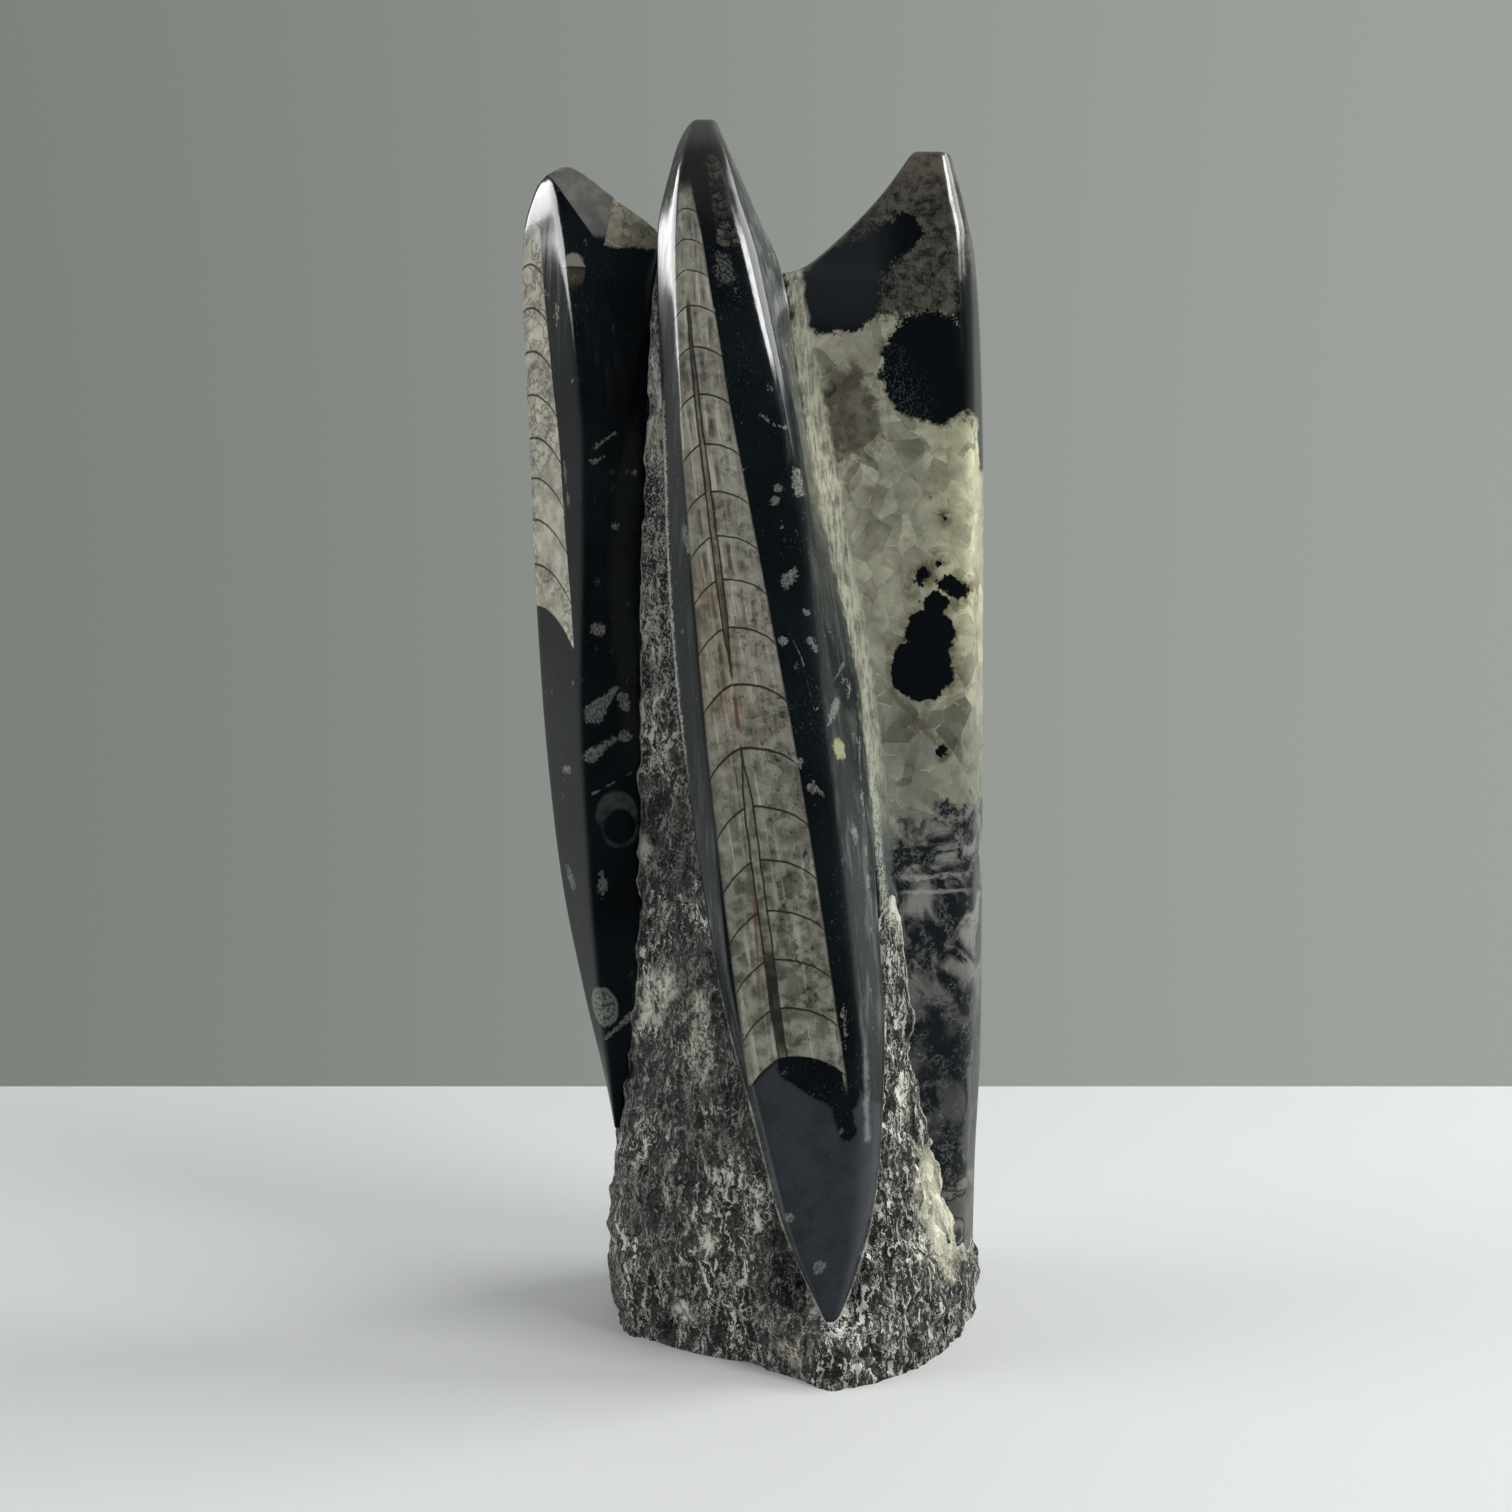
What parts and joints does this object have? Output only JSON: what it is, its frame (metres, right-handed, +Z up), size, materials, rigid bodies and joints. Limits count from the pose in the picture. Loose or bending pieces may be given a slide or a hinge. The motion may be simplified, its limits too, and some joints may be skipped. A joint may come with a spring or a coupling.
{
  "type": "orthoceras fossil tower",
  "caption": "Carved block of black fossil limestone with polished upright spires showing orthoceras shells, standing on its rough base.",
  "frame": {"origin": "middle of the footprint box, on the flat underside of the base", "axes": "+Z up along the spires, -Y towards the front with its fossil faces, +X to the right as seen from the front"},
  "size_m": [0.1148, 0.0804, 0.291],
  "materials": {
    "fossil_limestone": "polished black limestone with pale calcite fossils on the spires, rough chiselled matrix between them and round the base"
  },
  "bodies": {
    "root": {"orthoceras_tower": "fossil_limestone"}
  },
  "joints": []
}
